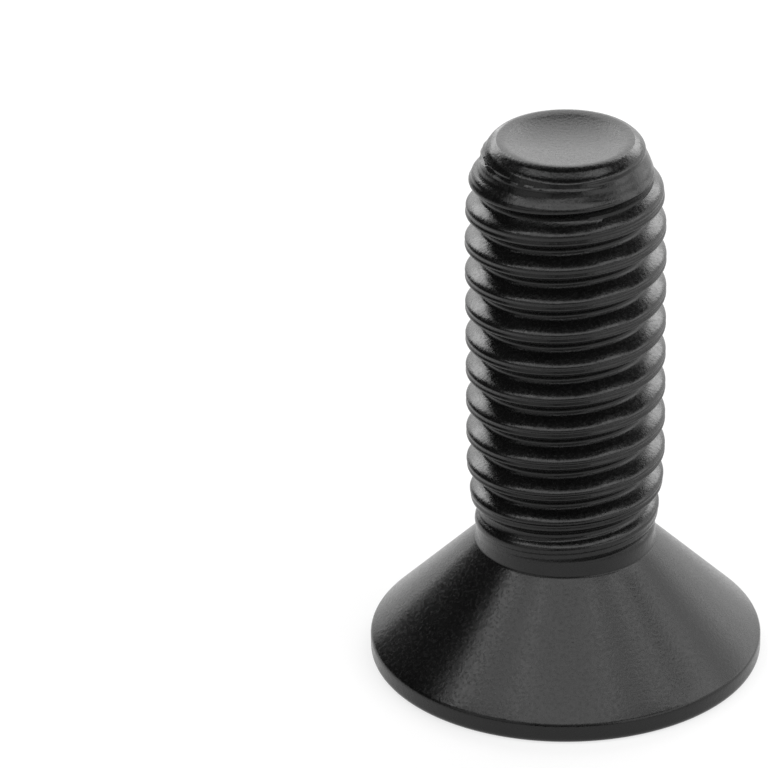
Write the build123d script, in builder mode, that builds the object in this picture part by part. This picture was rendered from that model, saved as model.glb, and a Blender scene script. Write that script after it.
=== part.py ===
"""Countersunk hexagon socket screw, M6 x 16, cold-headed from one wire with a rolled thread.

The screw stands on the flat of its head. The head face is the plane z = 0, the axis of the
screw is Z, and the tip points up. All sizes are in millimetres.
"""

import os
from math import radians, sqrt, tan

from build123d import *

# Driving dimensions
length = 16.3  # over all, from the head face to the tip; nominal 16, tolerance 0.35
nominal_diameter = 6.0
crest_diameter = 5.82  # over the rolled crests, a little under nominal
pitch = 1.0  # coarse pitch
neck_diameter = 5.2  # the wire that the thread is rolled on
neck_length = 0.35  # plain neck between the cone and the thread
head_diameter = 11.4
rim_height = 0.6  # the short cylinder between the head face and the cone
cone_angle = 90.0  # included angle of the countersunk seat
socket_width = 4.05  # across the flats, for a 4 mm key
socket_depth = 2.4  # depth of the flat walls
socket_mouth_diameter = 4.85  # the small countersink that breaks the socket's corners
drill_angle = 120.0  # included angle of the socket's bottom and of its mouth
rim_edge_radius = 0.2  # both edges of the rim
neck_fillet_radius = 0.5  # where the cone runs into the neck
tip_face_diameter = 4.18
point_diameter = 4.5  # lower end of the slender point, which has no thread
point_length = 0.5
lead_diameter = 5.4  # lower end of the lead-in cone, where the first crests rise
lead_length = 1.15  # from the tip face
taper_length = 2.7  # from the tip face to the first crest of full height
dish_diameter = 3.6  # the shallow hollow that heading and rolling leave in the tip
dish_depth = 0.22
crest_runout = 2.0 * pitch  # next to the head the crests sink over this length
groove_runout = 1.5 * pitch  # and the floor of the groove rises over this one

# Radii and heights that follow from them
head_radius = head_diameter / 2
neck_radius = neck_diameter / 2
crest_radius = crest_diameter / 2
cone_top = rim_height + (head_radius - neck_radius) / tan(radians(cone_angle / 2))
thread_start = cone_top + neck_length
dish_sphere_radius = ((dish_diameter / 2) ** 2 + dish_depth**2) / (2 * dish_depth)

# ISO metric thread: 60 degree flanks down to the minor diameter
flank_angle = radians(30)
triangle_height = sqrt(3) / 2 * pitch
root_radius = nominal_diameter / 2 - 17 / 24 * triangle_height
vee_apex_radius = nominal_diameter / 2 - 7 / 8 * triangle_height
thread_phase = 0.18  # a groove's centre is this far above a whole pitch on the +X side
groove_turns = 14
turns_below = 3  # whole pitches from the head face to the lowest turn
groove_start = thread_phase + turns_below * pitch

# Small overlaps that keep faces of joined or cut forms from coinciding
cutter_margin = 0.1  # the cutter stands this far proud of the crests
blank_margin = 0.05  # the thread blank starts this far inside the neck
core_margin = 0.08  # the core cone ends this far inside the root
groove_open_radius = crest_radius + cutter_margin


def groove_half_width(radius):
    """Half the axial width of the groove at a radius on its straight flanks."""
    return (radius - vee_apex_radius) * tan(flank_angle)


# One turn of the helical groove, right-hand, used as a cutter; its lower end starts at +X
with BuildPart() as groove_turn:
    with BuildLine() as groove_path:
        Helix(pitch, pitch, root_radius, center=(0, 0, groove_start))
    with BuildSketch(Plane.XZ):
        with BuildLine():
            root_half_width = groove_half_width(root_radius)
            open_half_width = groove_half_width(groove_open_radius)
            Polyline(
                (root_radius, groove_start - root_half_width),
                (groove_open_radius, groove_start - open_half_width),
                (groove_open_radius, groove_start + open_half_width),
                (root_radius, groove_start + root_half_width),
                close=True,
            )
        make_face()
    sweep(path=groove_path.wires()[0], is_frenet=True)

with BuildPart() as countersunk_screw:
    # Thread blank: crest envelope from the run-out cone to the pointed and dished tip
    with BuildSketch(Plane.YZ):
        with BuildLine():
            Polyline(
                (neck_radius - blank_margin, thread_start),
                (crest_radius, thread_start + crest_runout),
                (crest_radius, length - taper_length),
                (lead_diameter / 2, length - lead_length),
                (point_diameter / 2, length - point_length),
                (tip_face_diameter / 2, length),
                (0, length),
                (0, thread_start),
                close=True,
            )
        make_face()
    revolve(axis=Axis.Z)
    with Locations((0, 0, length - dish_depth + dish_sphere_radius)):
        Sphere(dish_sphere_radius, mode=Mode.SUBTRACT)

    # The whole groove: one turn above another, out through both ends of the blank
    with Locations(*[(0, 0, turn * pitch) for turn in range(groove_turns)]):
        add(groove_turn.part, mode=Mode.SUBTRACT)

    # Head, neck and the core cone that fills the groove where the thread runs out
    with BuildSketch(Plane.YZ):
        with BuildLine():
            head_side = FilletPolyline(
                (0, 0),
                (head_radius, 0),
                (head_radius, rim_height),
                (neck_radius, cone_top),
                (neck_radius, thread_start),
                radius=[rim_edge_radius, rim_edge_radius, neck_fillet_radius],
            )
            Polyline(
                head_side @ 1,
                (root_radius - core_margin, thread_start + groove_runout),
                (0, thread_start + groove_runout),
                (0, 0),
            )
        make_face()
    revolve(axis=Axis.Z)

    # Hexagon socket with a conical bottom, and a small countersink at its mouth
    with BuildSketch(Plane.XY):
        RegularPolygon(socket_width / 2, 6, major_radius=False)
    extrude(amount=socket_depth, mode=Mode.SUBTRACT)
    with BuildSketch(Plane.YZ):
        with BuildLine():
            Polyline(
                (0, socket_depth),
                (socket_width / 2, socket_depth),
                (0, socket_depth + socket_width / 2 / tan(radians(drill_angle / 2))),
                close=True,
            )
        make_face()
    revolve(axis=Axis.Z, mode=Mode.SUBTRACT)
    with BuildSketch(Plane.YZ):
        with BuildLine():
            Polyline(
                (0, 0),
                (socket_mouth_diameter / 2, 0),
                (0, socket_mouth_diameter / 2 / tan(radians(drill_angle / 2))),
                close=True,
            )
        make_face()
    revolve(axis=Axis.Z, mode=Mode.SUBTRACT)

countersunk_screw.part.label = "countersunk_screw"

os.makedirs("parts", exist_ok=True)
export_step(countersunk_screw.part, "parts/countersunk_screw.step")
print("volume", round(countersunk_screw.part.volume, 2), "mm3")
print("solids", len(countersunk_screw.part.solids()), "faces", len(countersunk_screw.part.faces()))
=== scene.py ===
# %% [markdown]
# # A countersunk socket screw
#
# The real screw is one piece of steel. A length of wire is cold-headed into a cone with a
# hexagon socket, the thread is rolled between two dies, and the whole is blackened and oiled.
# So it is one piece here too: one closed mesh that takes the place of the screw's CAD solid.
# The frame gives the place and the size, and the mesh adds what light finds on a rolled thread:
# round roots, soft crest edges with a fine seam, a run-out that fades, and a hollow in the tip.

import math

import bmesh
import bpy
import numpy as np
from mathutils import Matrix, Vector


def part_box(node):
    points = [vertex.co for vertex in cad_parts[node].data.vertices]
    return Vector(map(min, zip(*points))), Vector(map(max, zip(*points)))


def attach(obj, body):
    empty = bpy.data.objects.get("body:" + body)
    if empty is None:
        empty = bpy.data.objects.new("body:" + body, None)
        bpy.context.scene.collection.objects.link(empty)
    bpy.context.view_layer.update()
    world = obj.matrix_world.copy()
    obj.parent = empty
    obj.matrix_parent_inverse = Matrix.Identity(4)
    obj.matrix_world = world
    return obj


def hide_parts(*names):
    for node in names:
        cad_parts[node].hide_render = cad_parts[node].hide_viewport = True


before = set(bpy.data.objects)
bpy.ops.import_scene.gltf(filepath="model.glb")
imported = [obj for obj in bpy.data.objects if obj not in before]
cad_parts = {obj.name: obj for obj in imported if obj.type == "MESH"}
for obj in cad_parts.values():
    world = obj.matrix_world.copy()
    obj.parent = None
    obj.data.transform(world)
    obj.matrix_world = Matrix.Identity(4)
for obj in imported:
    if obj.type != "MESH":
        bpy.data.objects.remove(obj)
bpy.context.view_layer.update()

# %% [markdown]
# ## Real sizes
#
# Everything is in millimetres until the mesh is finished, because a screw is drawn in
# millimetres. The length and the head's diameter are read from the frame, so the piece always
# fits its solid. The rest are the sizes of an M6 screw with a coarse thread. The screw stands
# on its head: heights are counted up from the head's face, and a drop is counted down from the
# tip.

# %% Sizes of the screw
MM = 0.001
low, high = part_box("countersunk_screw")
LENGTH = (high[2] - low[2]) / MM
HEAD_RADIUS = (high[0] - low[0]) / MM / 2
RIM_HEIGHT = 0.6
RIM_EDGE = 0.2
NECK_RADIUS = 2.6
NECK_FILLET = 0.15
NOMINAL_RADIUS = 3.0
CREST_RADIUS = 2.87
PITCH = 1.0
SOCKET_FLAT = 4.05 / 2
SOCKET_DEPTH = 2.4
SOCKET_MOUTH = 4.85 / 2
DRILL_SLOPE = math.tan(math.radians(30))
TIP_RADIUS = 2.11
TIP_EDGE = 0.1
POINT_SLOPE = 0.4
DISH_RADIUS = 1.86
DISH_DEPTH = 0.22
THREAD_PHASE = 0.18
print("length", round(LENGTH, 3), "mm, head", round(2 * HEAD_RADIUS, 3), "mm across")

# %% [markdown]
# ## Camera
#
# A long lens from a little above gives the flat perspective of a catalogue picture. The camera
# stands straight in front, tilts down at the middle of the screw, and its sensor is shifted
# sideways so that the screw keeps its place in the frame without being seen from one side.

# %% Place the camera
CAMERA_DISTANCE = 143.8
CAMERA_HEIGHT = 81.7
LOOK_HEIGHT = 7.79
PIXELS_PER_MM = 34.82
SCALE_HEIGHT = 7.19
FRAME_PIXELS = 768
AXIS_PIXEL_X = 565.6
LOOK_PIXEL_Y = 408.9
SENSOR_MM = 36.0

camera_data = bpy.data.cameras.new("catalogue_camera")
camera = bpy.data.objects.new("catalogue_camera", camera_data)
bpy.context.scene.collection.objects.link(camera)
tilt = math.atan2(CAMERA_HEIGHT - LOOK_HEIGHT, CAMERA_DISTANCE)
camera.location = (0, -CAMERA_DISTANCE * MM, CAMERA_HEIGHT * MM)
camera.rotation_euler = (math.pi / 2 - tilt, 0, 0)
scale_depth = CAMERA_DISTANCE * math.cos(tilt) + (CAMERA_HEIGHT - SCALE_HEIGHT) * math.sin(tilt)
camera_data.sensor_width = SENSOR_MM
camera_data.lens = PIXELS_PER_MM * scale_depth * SENSOR_MM / FRAME_PIXELS
camera_data.shift_x = (FRAME_PIXELS / 2 - AXIS_PIXEL_X) / FRAME_PIXELS
camera_data.shift_y = (LOOK_PIXEL_Y - FRAME_PIXELS / 2) / FRAME_PIXELS
camera_data.clip_start = 0.01
camera_data.clip_end = 10
bpy.context.scene.camera = camera
print("lens", round(camera_data.lens, 1), "mm, looking down", round(math.degrees(tilt), 1), "degrees")

# %% [markdown]
# ## The thread's section
#
# A metric thread has flanks at 60 degrees to each other. Rolling leaves a round root, and the
# crests are soft-edged because the steel flows up into the die without quite filling it. Two
# blends do that: a soft minimum rounds an outside edge, and a soft maximum fills an inside one.
# The steel climbs both sides of a crest faster than its middle, so the crest is a low dome with
# a fine seam along it where the two sides meet.

# %% Section of the groove
FLANK = math.tan(math.radians(30))
TRIANGLE = math.sqrt(3) / 2 * PITCH
APEX_RADIUS = NOMINAL_RADIUS - 7 / 8 * TRIANGLE
ROOT_ROUND = TRIANGLE / 6
ROOT_CENTRE = APEX_RADIUS + 2 * ROOT_ROUND
FOOT = ROOT_ROUND * math.cos(math.radians(30))
CREST_BLEND = 0.13
CREST_DOME = 0.015
CREST_HALF = 0.137
SEAM_DEPTH = 0.045
SEAM_WIDTH = 0.06
ROOT_BLEND = 0.06


def soft_min(a, b, width):
    """The smaller of two values, rounded over where they are within a width of each other."""
    share = np.clip(0.5 + 0.5 * (b - a) / width, 0, 1)
    return b + (a - b) * share - width * share * (1 - share)


def soft_max(a, b, width):
    """The larger of two values, filled in where they are within a width of each other."""
    return -soft_min(-a, -b, width)


def groove_radius(offset):
    """Radius of the groove's surface at a height above or below its centre line."""
    offset = np.abs(offset)
    arc = ROOT_CENTRE - np.sqrt(np.maximum(ROOT_ROUND**2 - offset**2, 0))
    flank = APEX_RADIUS + offset / FLANK
    return np.where(offset < FOOT, arc, flank)


print("root radius", round(float(groove_radius(0.0)), 3), "mm")

# %% [markdown]
# ## Crest line, run-out and laps
#
# Along the screw the crests follow an outline. A slender point at the tip lets the screw find
# its hole, and behind it the crests grow over three turns to their full height. Near the head
# the dies lift, so the crests sink and the groove's floor rises until both meet the plain neck.
# A few heights with their radii give each line, and numpy's interp joins them. At both ends the
# skin fades to the outline itself, so it meets the turned parts in one clean ring.
#
# The end of the die also smears two low laps round part of the point. They are bell curves
# added to the radius, and they swell in the middle of the stretch that they cover.

# %% Outline of the crests and floor of the groove
RUNOUT_HEIGHTS = (4.05, 4.2, 4.5, 5.0, 5.3, 5.75, 6.3)
RUNOUT_CRESTS = (NECK_RADIUS, 2.63, 2.67, 2.74, 2.78, 2.83, CREST_RADIUS)
LEAD_DROPS = (0, 0.62, 0.87, 1.0, 1.2, 1.67, 2.2, 3.2)
LEAD_CRESTS = (TIP_RADIUS, 2.36, 2.5, 2.64, 2.74, 2.8, 2.845, CREST_RADIUS)
FLOOR_HEIGHTS = (4.1, 4.25, 4.7, 5.5)
FLOOR_RADII = (NECK_RADIUS, 2.55, 2.47, 2.25)
POINT_DROPS = (1.05, 1.35, 1.8)
POINT_RADII = (TIP_RADIUS + POINT_DROPS[0] * POINT_SLOPE, 2.44, 2.25)
SKIN_LOW = 4.0
SKIN_HIGH = LENGTH - TIP_EDGE
LOW_FADE = 0.3
HIGH_FADE = 0.15
SEAM_STARTS = 2.5
SEAM_GROWS = 0.3
# The laps run round the point between two angles in radians. Each has a drop and a half width.
LAP_START, LAP_END = 2.2, 5.3
LAP_START_FADE, LAP_END_FADE = 0.7, 0.9
LAP_HEIGHT, LAP_SWELL = 0.03, 0.075
LAP_MIDDLE, LAP_SPREAD = math.pi, 0.55
LAPS = ((0.36, 0.06), (0.53, 0.055))


def crest_line(height):
    """Radius that the crests reach at a height."""
    drop = LENGTH - height
    lead = np.interp(drop, LEAD_DROPS, LEAD_CRESTS)
    runout = np.interp(height, RUNOUT_HEIGHTS, RUNOUT_CRESTS)
    return np.minimum(lead, runout)


def floor_line(height):
    """Radius that the groove doesn't go below: it rises at the neck and at the point."""
    drop = LENGTH - height
    behind_point = np.interp(drop, POINT_DROPS, POINT_RADII)
    point = np.where(drop < POINT_DROPS[0], TIP_RADIUS + drop * POINT_SLOPE, behind_point)
    return np.maximum(point, np.interp(height, FLOOR_HEIGHTS, FLOOR_RADII))


def lap(height, angle):
    """Height of the two laps at a height of the screw and an angle round it, in radians."""
    drop = LENGTH - height
    reach = np.clip((angle - LAP_START) / LAP_START_FADE, 0, 1)
    reach = reach * np.clip((LAP_END - angle) / LAP_END_FADE, 0, 1)
    side = LAP_HEIGHT + LAP_SWELL * np.exp(-(((angle - LAP_MIDDLE) / LAP_SPREAD) ** 2))
    ridges = sum(np.exp(-(((drop - place) / width) ** 2)) for place, width in LAPS)
    return reach * side * ridges


def skin_radius(height, offset):
    """Radius of the threaded skin at a height and at an offset from the nearest groove."""
    groove = soft_max(groove_radius(offset), floor_line(height), ROOT_BLEND)
    from_crest = PITCH / 2 - offset
    crest = crest_line(height) - CREST_DOME * (from_crest / CREST_HALF) ** 2
    full = np.clip((crest_line(height) - SEAM_STARTS) / SEAM_GROWS, 0, 1)
    crest = crest - full * SEAM_DEPTH * np.exp(-((from_crest / SEAM_WIDTH) ** 2))
    crest = np.maximum(crest, floor_line(height))
    skin = soft_min(groove, crest, CREST_BLEND)
    fade = np.clip((height - SKIN_LOW) / LOW_FADE, 0, 1)
    fade = fade * np.clip((SKIN_HIGH - height) / HIGH_FADE, 0, 1)
    return skin * fade + crest_line(height) * (1 - fade)


print("crest radius half way up", round(float(crest_line(LENGTH / 2)), 3), "mm")

# %% [markdown]
# ## Rows that follow the helix
#
# A plain grid would cut across the crests and give them a saw edge. Here each row of the grid
# climbs one pitch in a turn, so it stays on the same crest, flank or root all the way, and the
# last column of a row meets the first column of the row one pitch higher. Rows that would run
# past either end are held at the end's height. There they fall on one ring, and merging the
# doubled points leaves a clean edge. At the point and in the run-out the crest gets wider, so
# each row's place is worked out again from where the flank meets the crest line. The rows lie
# close together at that corner, where the surface turns most.

# %% Grid of the threaded skin
COLUMNS = 200
angles = np.linspace(0, 2 * math.pi, COLUMNS + 1)
FIRST_GROOVE = 2
LAST_GROOVE = 17
CORNER_GUESS = 0.4
CORNER_ROUNDS = 20
CORNER_LEAST, CORNER_MOST = 0.2, 0.43
ROOT_SHARES = (0, 0.5, 1)
FLANK_SHARES = (0.5, 1)
FLANK_END = 0.06
CORNER_STEPS = (-0.035, -0.01, 0.015, 0.04)
CREST_SHARES = (0.22, 0.42, 0.62, 0.81, 1)


def crest_corner(groove_height, side):
    """Offset from a groove's centre at which its flank meets the crest line."""
    corner = np.full_like(groove_height, CORNER_GUESS)
    for _ in range(CORNER_ROUNDS):
        dome = CREST_DOME * ((PITCH / 2 - corner) / CREST_HALF) ** 2
        corner = (crest_line(groove_height + side * corner) - dome - APEX_RADIUS) * FLANK
        corner = np.clip(corner, CORNER_LEAST, CORNER_MOST)
    return corner


def half_rows(groove_height, side):
    """Offsets from a groove's centre to the middle of the crest beside it, one per row."""
    corner = crest_corner(groove_height, side)
    foot = np.full_like(corner, FOOT)
    flank_end = corner - FLANK_END
    crest_start = corner + CORNER_STEPS[-1]
    rows = [foot * share for share in ROOT_SHARES]
    rows += [foot + (flank_end - foot) * share for share in FLANK_SHARES]
    rows += [corner + step for step in CORNER_STEPS]
    rows += [crest_start + (PITCH / 2 - crest_start) * share for share in CREST_SHARES]
    return rows


def threaded_skin():
    """Points of the spiral rows, as an array of rows by columns by three."""
    heights = []
    for groove in range(FIRST_GROOVE, LAST_GROOVE):
        lower = THREAD_PHASE + PITCH * (groove + angles / (2 * math.pi))
        upper = lower + PITCH
        above_lower = [lower + offset for offset in half_rows(lower, 1)]
        below_upper = [upper - offset for offset in half_rows(upper, -1)]
        heights += above_lower + below_upper[1:-1][::-1]
    points = []
    for height in heights:
        height = np.clip(height, SKIN_LOW, SKIN_HIGH)
        nearest = np.abs((height - THREAD_PHASE - PITCH * angles / (2 * math.pi)) % PITCH)
        nearest = np.minimum(nearest, PITCH - nearest)
        radius = skin_radius(height, nearest) + lap(height, angles)
        points.append(np.stack([radius * np.cos(angles), radius * np.sin(angles), height], -1))
    return np.array(points)


skin = threaded_skin()
print("threaded skin:", skin.shape[0], "rows of", skin.shape[1], "points")

# %% [markdown]
# ## Head, neck and tip
#
# These parts are turned forms: a profile of radius and height, swept round the same columns as
# the thread. Arcs are worked out from their centre and radius, so an edge that is broken by
# 0.2 mm on the real screw is broken by 0.2 mm here. The hollow in the tip is left by the shears
# that cut the wire. It is flat in the middle and steepens towards its lip, which a power curve
# gives.

# %% Profiles of the head and the tip


def arc(centre_r, centre_z, radius, start, end, steps):
    """Profile points on an arc, with angles in degrees from the outward direction."""
    turns = np.radians(np.linspace(start, end, steps))
    return [(centre_r + radius * math.cos(a), centre_z + radius * math.sin(a)) for a in turns]


def line(first, last, steps):
    """Profile points along a straight line, without its first point."""
    shares = np.linspace(0, 1, steps + 1)[1:]
    return [tuple(np.array(first) + (np.array(last) - np.array(first)) * s) for s in shares]


CONE_TOP = RIM_HEIGHT + HEAD_RADIUS - NECK_RADIUS
CONE_END = 0.35
MOUTH_EDGE, MOUTH_EDGE_DEPTH = 0.03, 0.012
# The cone meets the neck and the rim at 45 degrees. A radius there reaches past the corner by
# the radius times the tangent of half that angle.
CORNER_REACH = math.tan(math.radians(45 / 2))
fillet_reach = NECK_FILLET * CORNER_REACH
rim_reach = RIM_EDGE * CORNER_REACH

head_profile = [(NECK_RADIUS, SKIN_LOW)]
head_profile += arc(NECK_RADIUS + NECK_FILLET, CONE_TOP + fillet_reach, NECK_FILLET, 180, 225, steps=7)
head_profile += line(head_profile[-1], (HEAD_RADIUS - CONE_END, RIM_HEIGHT + CONE_END), steps=14)
head_profile += arc(HEAD_RADIUS - RIM_EDGE, RIM_HEIGHT - rim_reach, RIM_EDGE, 45, 0, steps=6)
head_profile += line(head_profile[-1], (HEAD_RADIUS, RIM_EDGE), steps=3)
head_profile += arc(HEAD_RADIUS - RIM_EDGE, RIM_EDGE, RIM_EDGE, 0, -90, steps=8)[1:]
head_profile += line(head_profile[-1], (SOCKET_MOUTH + MOUTH_EDGE, 0), steps=8)

# Each pair is how far a point lies inside the tip's radius, or outside the hollow's, and its drop.
TIP_CORNER = ((0, 0.062), (0.05, 0.03), (0.13, 0.01))
DISH_LIP = ((0.1, 0), (0.07, 0), (0.02, 0.008))
DISH_SHARES = (0.97, 0.9, 0.8, 0.65, 0.5, 0.35, 0.2, 0.08)
DISH_POWER = 2.3
tip_profile = [(float(crest_line(SKIN_HIGH)), SKIN_HIGH)]
tip_profile += [(TIP_RADIUS - inside, LENGTH - drop) for inside, drop in TIP_CORNER]
tip_profile += [(DISH_RADIUS + outside, LENGTH - drop) for outside, drop in DISH_LIP]
for share in DISH_SHARES:
    tip_profile.append((DISH_RADIUS * share, LENGTH - DISH_DEPTH * (1 - share**DISH_POWER)))
print("profile points:", len(head_profile), "on the head,", len(tip_profile), "on the tip")

# %% [markdown]
# ## The hexagon socket
#
# A punch drives the socket into the face. Its walls are six flats, its bottom is a shallow
# cone, and a small countersink breaks the mouth. Seen along the axis the wall's radius changes
# with the angle, so each ring of the socket has its own radius in every column, and the
# countersink comes out deeper at the flats than at the corners, as it does on a real screw.

# %% Rings of the socket
ring_angles = angles[:-1]
from_flat = (ring_angles % math.radians(60)) - math.radians(30)
wall = SOCKET_FLAT / np.cos(from_flat)
EDGE_BREAK = 0.03
BREAK_OUT, BREAK_IN = 0.35, 0.25
WALL_SHARES = (0.25, 0.5, 0.75)
BOTTOM_BREAK = 0.04
BOTTOM_SHARES = (0.93, 0.75, 0.5, 0.25, 0.06)
BOTTOM_POINT = SOCKET_DEPTH + SOCKET_FLAT * DRILL_SLOPE


def socket_rings():
    """Rings from the mouth of the socket to its bottom, each a radius and a height per column."""
    mouth_height = (SOCKET_MOUTH - wall) * DRILL_SLOPE
    flat = np.zeros_like(wall)
    rings = [
        (flat + SOCKET_MOUTH, flat + MOUTH_EDGE_DEPTH),
        ((wall + SOCKET_MOUTH) / 2, mouth_height / 2),
        (wall + EDGE_BREAK, mouth_height - EDGE_BREAK * DRILL_SLOPE),
        (wall + EDGE_BREAK * BREAK_OUT, mouth_height + EDGE_BREAK * BREAK_IN),
        (wall, mouth_height + EDGE_BREAK),
    ]
    for share in WALL_SHARES:
        rings.append((wall, mouth_height + (SOCKET_DEPTH - mouth_height) * share))
    rings.append((wall, flat + SOCKET_DEPTH - BOTTOM_BREAK))
    rings.append((wall - BOTTOM_BREAK, flat + SOCKET_DEPTH))
    rings.append((flat + SOCKET_FLAT - BOTTOM_BREAK, flat + SOCKET_DEPTH))
    for share in BOTTOM_SHARES:
        rings.append((flat + SOCKET_FLAT * share, flat + BOTTOM_POINT - SOCKET_FLAT * share * DRILL_SLOPE))
    return rings


print("socket rings:", len(socket_rings()))

# %% [markdown]
# ## One closed skin
#
# The three parts share their border rings, so merging points that coincide welds them into one
# closed mesh. Three small helpers put them in: rings for the turned parts, a fan of triangles
# that closes a ring, and the spiral rows of the skin.

# %% Helpers for the mesh


def add_rings(mesh, rings):
    """Join rings of radius and height round all columns, and return the last ring's points."""
    previous = None
    for radius, height in rings:
        radius = np.broadcast_to(radius, ring_angles.shape)
        height = np.broadcast_to(height, ring_angles.shape)
        places = zip(radius * np.cos(ring_angles), radius * np.sin(ring_angles), height)
        current = [mesh.verts.new(place) for place in places]
        if previous:
            for i in range(COLUMNS):
                j = (i + 1) % COLUMNS
                mesh.faces.new((previous[i], previous[j], current[j], current[i]))
        previous = current
    return previous


def close_with_point(mesh, ring, height):
    """Close a ring with a fan of triangles to a point on the axis."""
    centre = mesh.verts.new((0, 0, height))
    for i in range(COLUMNS):
        mesh.faces.new((ring[i], ring[(i + 1) % COLUMNS], centre))


def add_skin(mesh, points):
    """Join the spiral rows of the thread."""
    grid = [[mesh.verts.new(point) for point in row] for row in points]
    for lower, upper in zip(grid, grid[1:]):
        for i in range(COLUMNS):
            mesh.faces.new((lower[i], lower[i + 1], upper[i + 1], upper[i]))


print("columns round the screw:", COLUMNS)

# %% [markdown]
# ## The rolled-over edge
#
# The wire was sheared to length before the thread was rolled, and the shears drag the steel
# down on one side. So the tip's edge isn't level: on its front half it is rolled over by up to
# a quarter of a millimetre. The points of the finished mesh are lowered by an amount that grows
# outwards and towards the front, and that fades a little way below the face.

# %% Roll over the front edge of the tip
ROLL_START = 1.6
ROLL_DEPTH = 0.26
ROLL_REACH = 0.6
ROLL_CURVE = 1.5


def rolled_over(place):
    """How far a point of the tip's edge is rolled over."""
    drop = LENGTH - place.z
    radius = math.hypot(place.x, place.y)
    if drop > ROLL_REACH or radius < ROLL_START:
        return 0.0
    share = min((radius - ROLL_START) / (TIP_RADIUS - ROLL_START), 1)
    front = 0.5 - 0.5 * place.y / radius
    return ROLL_DEPTH * share**ROLL_CURVE * front**2 * (1 - drop / ROLL_REACH)


print("the front edge is rolled over by up to", ROLL_DEPTH, "mm")

# %% [markdown]
# ## One piece
#
# Edges that turn by more than 40 degrees, such as the corners of the socket, stay sharp, and
# everything else is shaded smooth. The count of edges that aren't shared by exactly two faces
# tells whether the mesh is closed. Then the piece takes the place of its CAD solid and rides on
# the screw's only body.

# %% Build the mesh
WELD_DISTANCE = 0.0005
SHARP_ANGLE = 40

mesh = bmesh.new()
add_skin(mesh, skin)
last = add_rings(mesh, tip_profile)
close_with_point(mesh, last, LENGTH - DISH_DEPTH)
last = add_rings(mesh, head_profile + socket_rings())
close_with_point(mesh, last, BOTTOM_POINT)
for vertex in mesh.verts:
    vertex.co.z -= rolled_over(vertex.co)
bmesh.ops.remove_doubles(mesh, verts=mesh.verts, dist=WELD_DISTANCE)
bmesh.ops.recalc_face_normals(mesh, faces=mesh.faces)
open_edges = sum(1 for edge in mesh.edges if len(edge.link_faces) != 2)
bmesh.ops.scale(mesh, vec=(MM, MM, MM), verts=mesh.verts)

screw_data = bpy.data.meshes.new("countersunk_socket_screw")
mesh.to_mesh(screw_data)
mesh.free()
screw = bpy.data.objects.new("countersunk_socket_screw", screw_data)
bpy.context.scene.collection.objects.link(screw)
screw_data.shade_smooth()
screw_data.set_sharp_from_angle(angle=math.radians(SHARP_ANGLE))
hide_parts("countersunk_screw")
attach(screw, "root")
print("faces", len(screw_data.polygons), "edges not shared by two faces", open_edges)

# %% [markdown]
# ## Helpers for materials
#
# Colours are written as sRGB hex, the way a colour picker shows them, and one function turns
# them to the linear values that a shader wants. A second one adds a node, sets its inputs and
# links it, so that each material reads as a short list. An input is named with _ for a space,
# or by its place, as i0 or i1, where a node has several of one name.

# %% Colour and node helpers


def colour(code):
    """Linear RGBA of an sRGB hex colour such as f2f2f2."""
    channels = [int(code[i : i + 2], 16) / 255 for i in (0, 2, 4)]
    linear = [c / 12.92 if c <= 0.04045 else ((c + 0.055) / 1.055) ** 2.4 for c in channels]
    return (*linear, 1.0)


def node(tree, kind, settings=None, **inputs):
    """Add a node, set its properties, and give each input a value or the socket it links to."""
    new = tree.nodes.new(kind)
    for name, value in (settings or {}).items():
        setattr(new, name, value)
    for name, value in inputs.items():
        key = int(name[1:]) if name[0] == "i" and name[1:].isdigit() else name.replace("_", " ")
        if isinstance(value, bpy.types.NodeSocket):
            tree.links.new(value, new.inputs[key])
        else:
            new.inputs[key].default_value = value
    return new


print("paper white in linear light:", [round(c, 3) for c in colour("f2f2f2")[:3]])

# %% [markdown]
# ## Black-oxide steel
#
# A hot alkaline bath turns the surface of the steel to magnetite, a black layer about a
# thousandth of a millimetre thick, and oil is wiped on to seal it. The eye sees a deep neutral
# black with a satin sheen: nearly no colour of its own, but bright edges wherever a light grazes
# it. Light is turned back by the oxide and the oil and hardly reaches the steel, so the shader
# isn't metallic: it has a nearly black base and a plain sheen at the default IOR.
#
# Two noises break it up. A coarse one, about a millimetre across, is the cloudy patch left by
# the oil and the forging scale. A fine one is the etched grain, which varies the roughness and
# gives a slight relief. The real grain is a few thousandths of a millimetre, and it is drawn at
# a tenth of a millimetre so that it shows.

# %% Material of the screw
OXIDE_DARK = "040404"
OXIDE_PALE = "090909"
CLOUD_MM = 1.1
CLOUD_EDGES = (0.35, 0.7)
GRAIN_MM = 0.1
GRAIN_RELIEF_MM = 0.008
GRAIN_STRENGTH = 0.75
GRAIN_RANGE = (0.3, 0.7)
SHEEN_ROUGHNESS = (0.18, 0.32)
SHEEN_LEVEL = 0.36


def noise(tree, place, size_mm, detail, roughness):
    """Noise with patches of a real size in millimetres."""
    scale = 1 / (size_mm * MM)
    return node(tree, "ShaderNodeTexNoise", Vector=place, Scale=scale, Detail=detail, Roughness=roughness)


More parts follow.
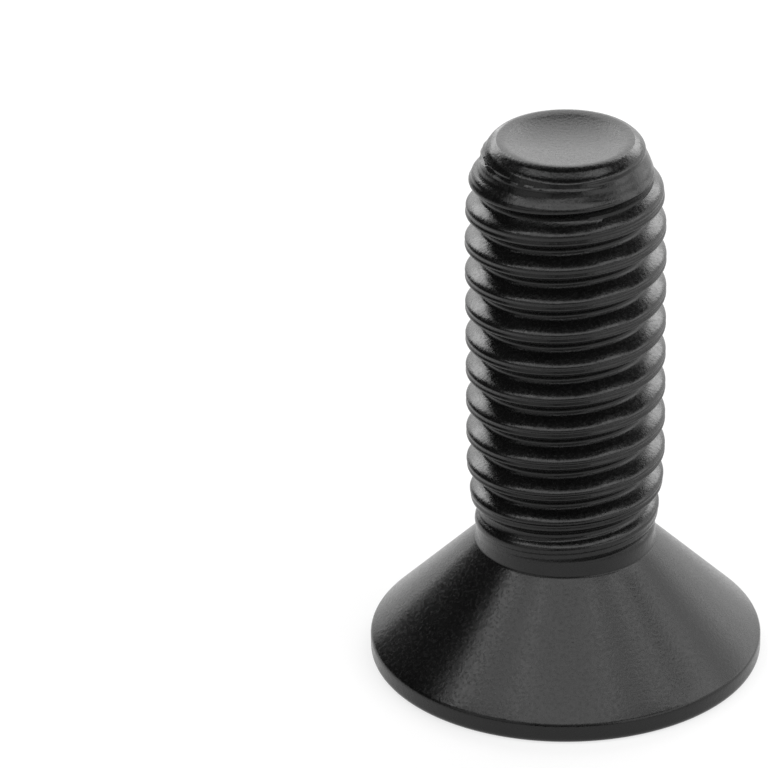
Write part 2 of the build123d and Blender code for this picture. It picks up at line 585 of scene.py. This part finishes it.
def black_oxide_steel():
    """Steel with an oiled black-oxide finish."""
    material = bpy.data.materials.new("black_oxide_steel")
    material.use_nodes = True
    tree = material.node_tree
    tree.nodes.clear()
    place = node(tree, "ShaderNodeTexCoord").outputs["Object"]
    clouds = noise(tree, place, CLOUD_MM, detail=4.0, roughness=0.6)
    grain = noise(tree, place, GRAIN_MM, detail=3.0, roughness=0.55)
    tint = node(tree, "ShaderNodeValToRGB", Fac=clouds.outputs["Fac"])
    for stop, edge, shade in zip(tint.color_ramp.elements, CLOUD_EDGES, (OXIDE_DARK, OXIDE_PALE)):
        stop.position = edge
        stop.color = colour(shade)
    sheen = node(
        tree,
        "ShaderNodeMapRange",
        Value=grain.outputs["Fac"],
        From_Min=GRAIN_RANGE[0],
        From_Max=GRAIN_RANGE[1],
        To_Min=SHEEN_ROUGHNESS[0],
        To_Max=SHEEN_ROUGHNESS[1],
    )
    relief = node(
        tree,
        "ShaderNodeBump",
        Height=grain.outputs["Fac"],
        Strength=GRAIN_STRENGTH,
        Distance=GRAIN_RELIEF_MM * MM,
    )
    surface = node(
        tree,
        "ShaderNodeBsdfPrincipled",
        Base_Color=tint.outputs["Color"],
        Metallic=0.0,
        Specular_IOR_Level=SHEEN_LEVEL,
        Roughness=sheen.outputs["Result"],
        Normal=relief.outputs["Normal"],
    )
    node(tree, "ShaderNodeOutputMaterial", Surface=surface.outputs["BSDF"])
    return material


screw_data.materials.append(black_oxide_steel())
print("material:", screw_data.materials[0].name)

# %% [markdown]
# ## Floor
#
# The screw stands on a plain sheet of white paper, so large that its edge is never seen. Paper
# under soft light comes out a little grey, so where the camera, a reflection or a refraction
# looks at it, some plain white is mixed in. The rest stays a matt surface, which keeps the
# screw's shadow and the light that the paper throws back on it.

# %% Floor
FLOOR_SIZE = 3.0
FLOOR_GLOW = 0.7
PAPER = "f2f2f2"
PURE_WHITE = (1, 1, 1, 1)


def pale_floor():
    """A large flat floor under the screw."""
    data = bpy.data.meshes.new("floor")
    half = FLOOR_SIZE / 2
    corners = [(-half, -half, 0), (half, -half, 0), (half, half, 0), (-half, half, 0)]
    data.from_pydata(corners, [], [(0, 1, 2, 3)])
    floor = bpy.data.objects.new("floor", data)
    bpy.context.scene.collection.objects.link(floor)
    material = bpy.data.materials.new("matt_white_paper")
    material.use_nodes = True
    tree = material.node_tree
    tree.nodes.clear()
    paper = node(tree, "ShaderNodeBsdfDiffuse", Color=colour(PAPER))
    glow = node(tree, "ShaderNodeEmission", Color=PURE_WHITE, Strength=1.0)
    ray = node(tree, "ShaderNodeLightPath").outputs
    larger = {"operation": "MAXIMUM"}
    seen = node(tree, "ShaderNodeMath", larger, i0=ray["Is Camera Ray"], i1=ray["Is Glossy Ray"])
    seen = node(tree, "ShaderNodeMath", larger, i0=seen.outputs[0], i1=ray["Is Transmission Ray"])
    share = node(tree, "ShaderNodeMath", {"operation": "MULTIPLY"}, i0=seen.outputs[0], i1=FLOOR_GLOW)
    blend = node(tree, "ShaderNodeMixShader", i0=share.outputs[0], i1=paper.outputs[0], i2=glow.outputs[0])
    node(tree, "ShaderNodeOutputMaterial", Surface=blend.outputs[0])
    data.materials.append(material)
    return floor


floor = pale_floor()
print("floor:", FLOOR_SIZE, "m square")

# %% [markdown]
# ## Soft panels
#
# A black satin thing has almost no colour to show. What draws it is what it mirrors: each bright
# band on the screw is a panel, and each dark band is a gap between two. So the studio is a ring
# of soft panels in three tiers. The top tier, about 50 degrees up, lies along the cone of the
# head, with a narrow one on the left for a streak. The middle tier, about 25 degrees up, is
# mirrored by the point, the crests and the sides of the thread, and it is strongest behind the
# screw, where it grazes both edges and fills the hollow in the tip. The low tier, just above the
# paper, lights the rim and the outer edges.
#
# Each panel is placed and sized by angles seen from the screw, as one would plan it on the
# bench. Its strength is a radiance, so a panel that is made larger lights more and doesn't look
# dimmer in a reflection. Together they light a mid grey to about a mid grey.

# %% A panel
LAMP_DISTANCE = 0.5


def panel(name, azimuth, elevation, width, height, radiance):
    """A soft panel that faces the screw, with its place and size as angles in degrees."""
    a, e = math.radians(azimuth), math.radians(elevation)
    data = bpy.data.lights.new(name, "AREA")
    data.shape = "RECTANGLE"
    data.size = 2 * LAMP_DISTANCE * math.tan(math.radians(width / 2)) * math.cos(e)
    data.size_y = 2 * LAMP_DISTANCE * math.tan(math.radians(height / 2))
    data.energy = radiance * math.pi * data.size * data.size_y
    lamp = bpy.data.objects.new(name, data)
    lamp.location = (
        LAMP_DISTANCE * math.sin(a) * math.cos(e),
        -LAMP_DISTANCE * math.cos(a) * math.cos(e),
        LAMP_DISTANCE * math.sin(e) + LENGTH / 2 * MM,
    )
    lamp.rotation_euler = (math.pi / 2 - e, 0, a)
    lamp.visible_camera = False
    bpy.context.scene.collection.objects.link(lamp)


print("panels stand", LAMP_DISTANCE, "m from the screw")

# %% Set up the panels
PANELS = (
    # name, azimuth from the camera's side (positive to the right), elevation, width, height, radiance
    ("streak", -78, 49, 12, 26, 5.0),
    ("top_left", -55, 55, 32, 28, 2.3),
    ("top_front", 0, 55, 75, 28, 2.7),
    ("top_gap", 50, 55, 25, 28, 1.9),
    ("top_right", 75, 55, 25, 28, 3.7),
    ("right", 90, 29, 30, 24, 3.1),
    ("right_rear", 120, 29, 30, 24, 1.8),
    ("rear_right", 150, 29, 30, 24, 6.4),
    ("rear", 180, 33, 30, 34, 2.8),
    ("rear_left", -150, 29, 30, 24, 5.8),
    ("front_left", -45, 20, 50, 26, 0.8),
    ("front", 4, 24, 30, 20, 0.5),
    ("front_right", 50, 18, 50, 26, 1.9),
    ("low_side", 90, 8, 30, 18, 1.2),
    ("low_rear_right", 120, 8, 30, 18, 2.4),
    ("low_rear", 165, 8, 60, 18, 1.7),
    ("low_rear_left", -156, 9, 28, 16, 2.0),
)
for row in PANELS:
    panel(*row)
print("panels:", len(PANELS))

# %% [markdown]
# ## World and view
#
# The world gives only a breath of light, so that nothing is cut off to pure black. The Standard
# view shows each colour as it is written.

# %% World and view
WORLD_LEVEL = 0.05
world = bpy.data.worlds.new("studio")
world.use_nodes = True
background = world.node_tree.nodes["Background"]
background.inputs["Color"].default_value = PURE_WHITE
background.inputs["Strength"].default_value = WORLD_LEVEL
bpy.context.scene.world = world
bpy.context.scene.view_settings.view_transform = "Standard"
print("world level:", WORLD_LEVEL)
